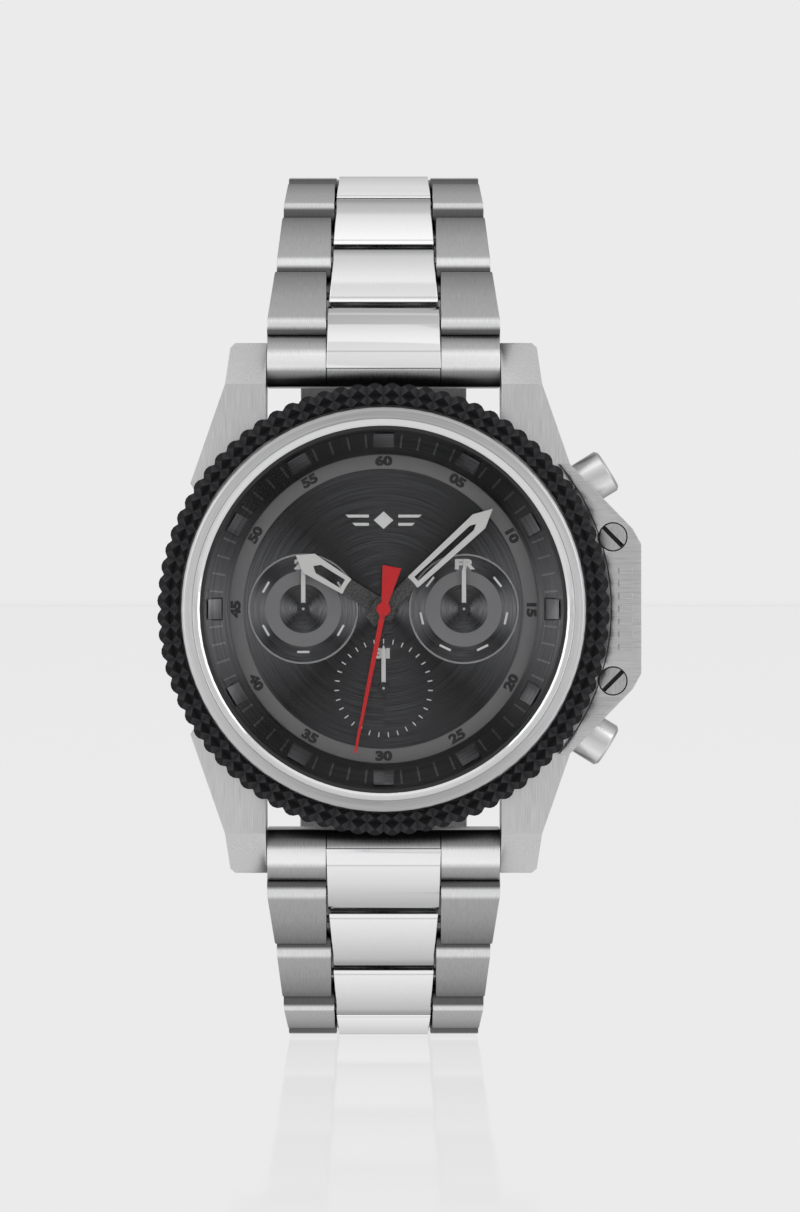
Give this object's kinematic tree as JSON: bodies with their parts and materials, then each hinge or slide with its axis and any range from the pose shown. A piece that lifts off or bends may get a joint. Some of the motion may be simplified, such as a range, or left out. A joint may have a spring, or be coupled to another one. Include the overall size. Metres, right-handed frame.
{
  "type": "multifunction wristwatch",
  "caption": "Steel multifunction wristwatch with a knurled black bezel, three small dials, a crown guard, two pushers and a three-row link bracelet with folding clasp.",
  "frame": {"origin": "centre of the case back's outer face, on the axis of the hands", "axes": "+Z towards 12 o'clock, +X towards 3 o'clock and the crown, the dial faces -Y and the case back faces +Y"},
  "size_m": [0.0493, 0.0538, 0.0918],
  "materials": {
    "steel_brushed": "brushed",
    "steel_polished": "polished",
    "ring_black": "black plated",
    "crystal_glass": "clear",
    "dial_grey": "circular brushed",
    "rehaut_grey": "satin",
    "marker_grey": "brushed",
    "hand_grey": "matte",
    "hand_red": "matte",
    "black_rubber": "matte",
    "wheel_brass": "satin",
    "holder_plastic": "matte",
    "board_green": "matte",
    "spring_steel": "drawn wire"
  },
  "bodies": {
    "head": {"case_middle": "steel_brushed", "case_back": "steel_brushed", "case_back_gasket": "black_rubber", "bezel_ring": "steel_polished", "knurled_ring": "ring_black", "crystal": "crystal_glass", "crystal_gasket": "black_rubber", "rehaut_ring": "rehaut_grey", "hour_markers": "marker_grey", "dial": "dial_grey", "dial_rings": "dial_grey", "crown_guard": "steel_brushed", "guard_screws": "steel_polished", "case_tubes": "steel_polished", "movement_holder": "holder_plastic", "main_plate": "wheel_brass", "circuit_board": "board_green", "battery": "steel_polished", "lug_spring_bars": "spring_steel", "end_link_12": "steel_brushed", "end_link_6": "steel_brushed", "pusher_springs": "spring_steel"},
    "minute_group": {"minute_hand": "hand_grey", "cannon_pinion": "wheel_brass"},
    "hour_group": {"hour_hand": "hand_grey", "hour_wheel": "wheel_brass"},
    "minute_wheel": {"minute_wheel": "wheel_brass"},
    "seconds_group": {"seconds_hand": "hand_red"},
    "hand_24h": {"hand_24h": "hand_grey"},
    "hand_day": {"hand_day": "hand_grey"},
    "hand_date": {"hand_date": "hand_grey"},
    "setting_lever": {"setting_lever": "spring_steel"},
    "crown_group": {"crown": "steel_polished", "winding_stem": "spring_steel"},
    "pusher_upper": {"pusher_upper": "steel_polished"},
    "pusher_lower": {"pusher_lower": "steel_polished"},
    "link_12_01": {"link_12_01": "steel_brushed"},
    "link_12_02": {"link_12_02": "steel_brushed"},
    "link_12_03": {"link_12_03": "steel_brushed"},
    "link_12_04": {"link_12_04": "steel_brushed"},
    "link_12_05": {"link_12_05": "steel_brushed"},
    "link_12_06": {"link_12_06": "steel_brushed"},
    "link_12_07": {"link_12_07": "steel_brushed"},
    "link_12_08": {"link_12_08": "steel_brushed"},
    "link_12_09": {"link_12_09": "steel_brushed"},
    "link_12_10": {"link_12_10": "steel_brushed"},
    "link_6_01": {"link_6_01": "steel_brushed"},
    "link_6_02": {"link_6_02": "steel_brushed"},
    "link_6_03": {"link_6_03": "steel_brushed"},
    "link_6_04": {"link_6_04": "steel_brushed"},
    "link_6_05": {"link_6_05": "steel_brushed"},
    "link_6_06": {"link_6_06": "steel_brushed"},
    "link_6_07": {"link_6_07": "steel_brushed"},
    "link_6_08": {"link_6_08": "steel_brushed"},
    "link_6_09": {"link_6_09": "steel_brushed"},
    "clasp_inner_blade": {"clasp_inner_blade": "steel_polished"},
    "clasp_middle_blade": {"clasp_middle_blade": "steel_polished"},
    "clasp_cover": {"clasp_cover": "steel_brushed"},
    "clasp_button_left": {"clasp_button_left": "steel_polished"},
    "clasp_button_right": {"clasp_button_right": "steel_polished"}
  },
  "joints": [
    {"name": "minute_turn", "type": "hinge", "parent": "head", "child": "minute_group", "pos_m": [0, -0.00925, 0], "axis": [0, 1, 0], "continuous": true},
    {"name": "hour_turn", "type": "hinge", "parent": "head", "child": "hour_group", "pos_m": [0, -0.0086, 0], "axis": [0, 1, 0], "continuous": true},
    {"name": "minute_wheel_turn", "type": "hinge", "parent": "head", "child": "minute_wheel", "pos_m": [0, -0.0065, 0.0036], "axis": [0, 1, 0], "continuous": true},
    {"name": "seconds_turn", "type": "hinge", "parent": "head", "child": "seconds_group", "pos_m": [0, -0.0099, 0], "axis": [0, 1, 0], "continuous": true},
    {"name": "hand_24h_turn", "type": "hinge", "parent": "head", "child": "hand_24h", "pos_m": [-0.0082, -0.0082, 0], "axis": [0, 1, 0], "continuous": true},
    {"name": "hand_day_turn", "type": "hinge", "parent": "head", "child": "hand_day", "pos_m": [0.0082, -0.0082, 0], "axis": [0, 1, 0], "continuous": true},
    {"name": "hand_date_turn", "type": "hinge", "parent": "head", "child": "hand_date", "pos_m": [0, -0.0082, -0.0081], "axis": [0, 1, 0], "continuous": true},
    {"name": "crown_pull", "type": "slide", "parent": "head", "child": "setting_lever", "axis": [1, 0, 0], "range_m": [0, 0.0012]},
    {"name": "crown_turn", "type": "hinge", "parent": "setting_lever", "child": "crown_group", "pos_m": [0.0226, -0.00405, 0], "axis": [1, 0, 0], "continuous": true},
    {"name": "pusher_upper_press", "type": "slide", "parent": "head", "child": "pusher_upper", "axis": [-0.8508, 0, -0.5255], "range_m": [0, 0.0009], "stiffness_N_per_m": 900, "springref_m": -0.0008, "deforming": ["pusher_springs"]},
    {"name": "pusher_lower_press", "type": "slide", "parent": "head", "child": "pusher_lower", "axis": [-0.8508, 0, 0.5255], "range_m": [0, 0.0009], "stiffness_N_per_m": 900, "springref_m": -0.0008, "deforming": ["pusher_springs"]},
    {"name": "link_12_01_hinge", "type": "hinge", "parent": "head", "child": "link_12_01", "pos_m": [0, -0.0032, 0.0292], "axis": [1, 0, 0], "range_deg": [0, 24]},
    {"name": "link_12_02_hinge", "type": "hinge", "parent": "link_12_01", "child": "link_12_02", "pos_m": [0, -0.00047, 0.03532], "axis": [1, 0, 0], "range_deg": [0, 11]},
    {"name": "link_12_03_hinge", "type": "hinge", "parent": "link_12_02", "child": "link_12_03", "pos_m": [0, 0.00337, 0.04081], "axis": [1, 0, 0], "range_deg": [0, 28]},
    {"name": "link_12_04_hinge", "type": "hinge", "parent": "link_12_03", "child": "link_12_04", "pos_m": [0, 0.00934, 0.04385], "axis": [1, 0, 0], "range_deg": [0, 25]},
    {"name": "link_12_05_hinge", "type": "hinge", "parent": "link_12_04", "child": "link_12_05", "pos_m": [0, 0.01603, 0.04408], "axis": [1, 0, 0], "range_deg": [0, 18]},
    {"name": "link_12_06_hinge", "type": "hinge", "parent": "link_12_05", "child": "link_12_06", "pos_m": [0, 0.02247, 0.04224], "axis": [1, 0, 0], "range_deg": [0, 16]},
    {"name": "link_12_07_hinge", "type": "hinge", "parent": "link_12_06", "child": "link_12_07", "pos_m": [0, 0.02816, 0.03869], "axis": [1, 0, 0], "range_deg": [0, 15]},
    {"name": "link_12_08_hinge", "type": "hinge", "parent": "link_12_07", "child": "link_12_08", "pos_m": [0, 0.03273, 0.03379], "axis": [1, 0, 0], "range_deg": [0, 14]},
    {"name": "link_12_09_hinge", "type": "hinge", "parent": "link_12_08", "child": "link_12_09", "pos_m": [0, 0.03597, 0.02793], "axis": [1, 0, 0], "range_deg": [0, 12]},
    {"name": "link_12_10_hinge", "type": "hinge", "parent": "link_12_09", "child": "link_12_10", "pos_m": [0, 0.03793, 0.02152], "axis": [1, 0, 0], "range_deg": [0, 10]},
    {"name": "link_6_01_hinge", "type": "hinge", "parent": "head", "child": "link_6_01", "pos_m": [0, -0.0032, -0.0292], "axis": [-1, 0, 0], "range_deg": [0, 24]},
    {"name": "link_6_02_hinge", "type": "hinge", "parent": "link_6_01", "child": "link_6_02", "pos_m": [0, -0.00047, -0.03532], "axis": [-1, 0, 0], "range_deg": [0, 11]},
    {"name": "link_6_03_hinge", "type": "hinge", "parent": "link_6_02", "child": "link_6_03", "pos_m": [0, 0.00337, -0.04081], "axis": [-1, 0, 0], "range_deg": [0, 28]},
    {"name": "link_6_04_hinge", "type": "hinge", "parent": "link_6_03", "child": "link_6_04", "pos_m": [0, 0.00934, -0.04385], "axis": [-1, 0, 0], "range_deg": [0, 27]},
    {"name": "link_6_05_hinge", "type": "hinge", "parent": "link_6_04", "child": "link_6_05", "pos_m": [0, 0.01604, -0.04385], "axis": [-1, 0, 0], "range_deg": [0, 18]},
    {"name": "link_6_06_hinge", "type": "hinge", "parent": "link_6_05", "child": "link_6_06", "pos_m": [0, 0.02241, -0.04178], "axis": [-1, 0, 0], "range_deg": [0, 18]},
    {"name": "link_6_07_hinge", "type": "hinge", "parent": "link_6_06", "child": "link_6_07", "pos_m": [0, 0.02783, -0.03784], "axis": [-1, 0, 0], "range_deg": [0, 17]},
    {"name": "link_6_08_hinge", "type": "hinge", "parent": "link_6_07", "child": "link_6_08", "pos_m": [0, 0.03186, -0.03249], "axis": [-1, 0, 0], "range_deg": [0, 14]},
    {"name": "link_6_09_hinge", "type": "hinge", "parent": "link_6_08", "child": "link_6_09", "pos_m": [0, 0.03448, -0.02632], "axis": [-1, 0, 0], "range_deg": [0, 10]},
    {"name": "clasp_end_hinge", "type": "hinge", "parent": "link_12_10", "child": "clasp_inner_blade", "pos_m": [0, 0.03875, 0.01487], "axis": [1, 0, 0], "range_deg": [0, 90]},
    {"name": "clasp_lower_hinge", "type": "hinge", "parent": "clasp_inner_blade", "child": "clasp_middle_blade", "pos_m": [0, 0.03741, -0.01398], "axis": [-1, 0, 0], "range_deg": [0, 120]},
    {"name": "clasp_upper_hinge", "type": "hinge", "parent": "clasp_middle_blade", "child": "clasp_cover", "pos_m": [0, 0.04057, 0.0115], "axis": [1, 0, 0], "range_deg": [0, 145]},
    {"name": "clasp_button_right_press", "type": "slide", "parent": "clasp_cover", "child": "clasp_button_right", "axis": [-1, 0, 0], "range_m": [0, 0.0006], "stiffness_N_per_m": 300, "springref_m": -0.001},
    {"name": "clasp_button_left_press", "type": "slide", "parent": "clasp_cover", "child": "clasp_button_left", "axis": [1, 0, 0], "range_m": [0, 0.0006], "stiffness_N_per_m": 300, "springref_m": -0.001}
  ],
  "couplings": [
    {"joint": "hour_turn", "follows": "minute_turn", "ratio": 0.083333},
    {"joint": "minute_wheel_turn", "follows": "minute_turn", "ratio": -0.33333},
    {"joint": "hand_24h_turn", "follows": "minute_turn", "ratio": 0.041667}
  ]
}
